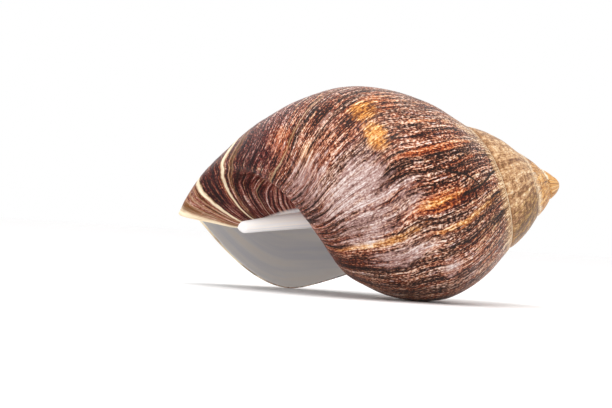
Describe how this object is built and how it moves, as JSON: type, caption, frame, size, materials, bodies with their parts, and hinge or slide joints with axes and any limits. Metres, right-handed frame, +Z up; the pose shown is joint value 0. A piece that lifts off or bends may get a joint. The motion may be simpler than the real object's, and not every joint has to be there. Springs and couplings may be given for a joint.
{
  "type": "giant african snail shell",
  "caption": "Empty coiled land snail shell, a pointed oval with dark streaks along its growth lines, lying with its open aperture down.",
  "frame": {"origin": "centre of the shell's footprint, at the level surface it lies on", "axes": "+Z up, +X from the aperture's front end towards the apex, -Y towards the viewer of the picture"},
  "size_m": [0.1054, 0.0738, 0.0586],
  "materials": {
    "shell": "satin"
  },
  "bodies": {
    "root": {"shell": "shell"}
  },
  "joints": []
}
